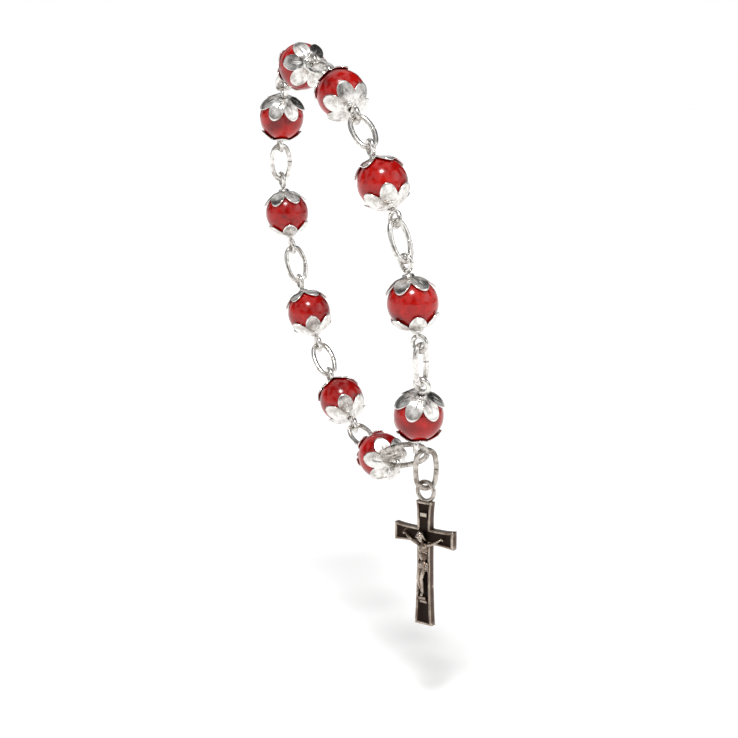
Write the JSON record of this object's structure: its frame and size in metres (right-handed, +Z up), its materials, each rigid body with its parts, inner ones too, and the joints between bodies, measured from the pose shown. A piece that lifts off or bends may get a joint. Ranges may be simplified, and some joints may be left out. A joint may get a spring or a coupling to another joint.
{
  "type": "rosary bracelet",
  "caption": "Rosary bracelet hanging closed round a wrist: stone beads in petal caps on eye pins, joined by oval links and an openwork piece that carries a crucifix.",
  "frame": {"origin": "middle of the closed loop, on the wrist's axis", "axes": "+Z up as worn; the wrist's axis lies in the XZ plane and rises 8.1 degrees towards +X; +Y towards the back of the loop"},
  "size_m": [0.02, 0.0681, 0.0969],
  "materials": {
    "red_stone": "polished",
    "silver_cap": "polished",
    "silver_wire": "polished",
    "silver_openwork": "polished",
    "antique_silver": "antiqued"
  },
  "bodies": {
    "loop": {"eye_pin_01": "silver_wire", "eye_pin_02": "silver_wire", "eye_pin_03": "silver_wire", "eye_pin_04": "silver_wire", "eye_pin_05": "silver_wire", "eye_pin_06": "silver_wire", "eye_pin_07": "silver_wire", "eye_pin_08": "silver_wire", "eye_pin_09": "silver_wire", "eye_pin_10": "silver_wire"},
    "bead_unit_01": {"bead_01": "red_stone", "bead_cap_01a": "silver_cap", "bead_cap_01b": "silver_cap"},
    "bead_unit_02": {"bead_02": "red_stone", "bead_cap_02a": "silver_cap", "bead_cap_02b": "silver_cap"},
    "bead_unit_03": {"bead_03": "red_stone", "bead_cap_03a": "silver_cap", "bead_cap_03b": "silver_cap"},
    "bead_unit_04": {"bead_04": "red_stone", "bead_cap_04a": "silver_cap", "bead_cap_04b": "silver_cap"},
    "bead_unit_05": {"bead_05": "red_stone", "bead_cap_05a": "silver_cap", "bead_cap_05b": "silver_cap"},
    "bead_unit_06": {"bead_06": "red_stone", "bead_cap_06a": "silver_cap", "bead_cap_06b": "silver_cap"},
    "bead_unit_07": {"bead_07": "red_stone", "bead_cap_07a": "silver_cap", "bead_cap_07b": "silver_cap"},
    "bead_unit_08": {"bead_08": "red_stone", "bead_cap_08a": "silver_cap", "bead_cap_08b": "silver_cap"},
    "bead_unit_09": {"bead_09": "red_stone", "bead_cap_09a": "silver_cap", "bead_cap_09b": "silver_cap"},
    "bead_unit_10": {"bead_10": "red_stone", "bead_cap_10a": "silver_cap", "bead_cap_10b": "silver_cap"},
    "link_01": {"oval_link_01": "silver_wire"},
    "link_02": {"oval_link_02": "silver_wire"},
    "link_03": {"oval_link_03": "silver_wire"},
    "link_04": {"oval_link_04": "silver_wire"},
    "link_05": {"oval_link_05": "silver_wire"},
    "link_06": {"oval_link_06": "silver_wire"},
    "link_07": {"oval_link_07": "silver_wire"},
    "link_08": {"oval_link_08": "silver_wire"},
    "link_09": {"oval_link_09": "silver_wire"},
    "centrepiece": {"centrepiece": "silver_openwork"},
    "crucifix_link": {"crucifix_link": "silver_wire"},
    "crucifix": {"crucifix_cross": "antique_silver", "crucifix_ring": "antique_silver", "title_plate": "antique_silver", "corpus_figure": "antique_silver", "foot_rest": "antique_silver"}
  },
  "joints": [
    {"name": "link_01_roll", "type": "hinge", "parent": "loop", "child": "link_01", "pos_m": [0.00187, -0.03001, -0.01314], "axis": [-0.1388, -0.1708, 0.9755], "range_deg": [-10, 10]},
    {"name": "link_02_roll", "type": "hinge", "parent": "loop", "child": "link_02", "pos_m": [-0.00086, -0.02816, 0.00605], "axis": [-0.133, 0.331, 0.9342], "range_deg": [-25, 25]},
    {"name": "link_03_roll", "type": "hinge", "parent": "loop", "child": "link_03", "pos_m": [-0.0032, -0.01791, 0.02252], "axis": [-0.1013, 0.6947, 0.7121], "range_deg": [-25, 25]},
    {"name": "link_04_roll", "type": "hinge", "parent": "loop", "child": "link_04", "pos_m": [-0.00465, -0.00138, 0.0327], "axis": [-0.0395, 0.9598, 0.2778], "range_deg": [-25, 25]},
    {"name": "link_05_roll", "type": "hinge", "parent": "loop", "child": "link_05", "pos_m": [-0.00443, 0.01772, 0.03111], "axis": [0.067, 0.8795, -0.4711], "range_deg": [-25, 25]},
    {"name": "link_06_roll", "type": "hinge", "parent": "loop", "child": "link_06", "pos_m": [-0.00228, 0.02934, 0.01605], "axis": [0.1358, 0.2657, -0.9544], "range_deg": [-25, 25]},
    {"name": "link_07_roll", "type": "hinge", "parent": "loop", "child": "link_07", "pos_m": [0.00046, 0.02906, -0.0032], "axis": [0.1358, -0.2655, -0.9545], "range_deg": [-25, 25]},
    {"name": "link_08_roll", "type": "hinge", "parent": "loop", "child": "link_08", "pos_m": [0.00289, 0.01993, -0.0203], "axis": [0.1077, -0.6447, -0.7568], "range_deg": [-25, 25]},
    {"name": "link_09_roll", "type": "hinge", "parent": "loop", "child": "link_09", "pos_m": [0.00452, 0.00424, -0.03174], "axis": [0.0519, -0.9297, -0.3647], "range_deg": [-25, 25]},
    {"name": "centrepiece_roll", "type": "hinge", "parent": "loop", "child": "centrepiece", "pos_m": [0.00434, -0.0174, -0.03051], "axis": [0.0671, 0.8793, -0.4716], "range_deg": [-20, 0]},
    {"name": "crucifix_link_swing", "type": "hinge", "parent": "centrepiece", "child": "crucifix_link", "pos_m": [0.00756, -0.01877, -0.03076], "axis": [0.1731, 0.8542, -0.4903], "range_deg": [-45, 12]},
    {"name": "crucifix_swing", "type": "hinge", "parent": "crucifix_link", "child": "crucifix", "pos_m": [0.00756, -0.01877, -0.03612], "axis": [-0.8425, -0.5388, 0], "range_deg": [-40, 40]},
    {"name": "bead_01_spin", "type": "hinge", "parent": "loop", "child": "bead_unit_01", "pos_m": [0.00313, -0.02625, -0.02201], "axis": [-0.1222, -0.4977, 0.8587], "continuous": true},
    {"name": "bead_02_spin", "type": "hinge", "parent": "loop", "child": "bead_unit_02", "pos_m": [0.00049, -0.02996, -0.00347], "axis": [-0.1402, 0.1017, 0.9849], "continuous": true},
    {"name": "bead_03_spin", "type": "hinge", "parent": "loop", "child": "bead_unit_03", "pos_m": [-0.00209, -0.02367, 0.01467], "axis": [-0.12, 0.5246, 0.8428], "continuous": true},
    {"name": "bead_04_spin", "type": "hinge", "parent": "loop", "child": "bead_unit_04", "pos_m": [-0.00404, -0.01011, 0.02837], "axis": [-0.0753, 0.8452, 0.5291], "continuous": true},
    {"name": "bead_05_spin", "type": "hinge", "parent": "loop", "child": "bead_unit_05", "pos_m": [-0.00473, 0.00831, 0.03322], "axis": [0.0103, 0.9973, -0.0725], "continuous": true},
    {"name": "bead_06_spin", "type": "hinge", "parent": "loop", "child": "bead_unit_06", "pos_m": [-0.00348, 0.02461, 0.02442], "axis": [0.1128, 0.5994, -0.7925], "continuous": true},
    {"name": "bead_07_spin", "type": "hinge", "parent": "loop", "child": "bead_unit_07", "pos_m": [-0.00091, 0.03013, 0.00643], "axis": [0.1409, -0.0226, -0.9898], "continuous": true},
    {"name": "bead_08_spin", "type": "hinge", "parent": "loop", "child": "bead_unit_08", "pos_m": [0.00172, 0.02516, -0.0121], "axis": [0.1245, -0.4678, -0.875], "continuous": true},
    {"name": "bead_09_spin", "type": "hinge", "parent": "loop", "child": "bead_unit_09", "pos_m": [0.0038, 0.01258, -0.02671], "axis": [0.0842, -0.8019, -0.5916], "continuous": true},
    {"name": "bead_10_spin", "type": "hinge", "parent": "loop", "child": "bead_unit_10", "pos_m": [0.00474, -0.00536, -0.03329], "axis": [0.0062, -0.999, -0.0433], "continuous": true}
  ]
}
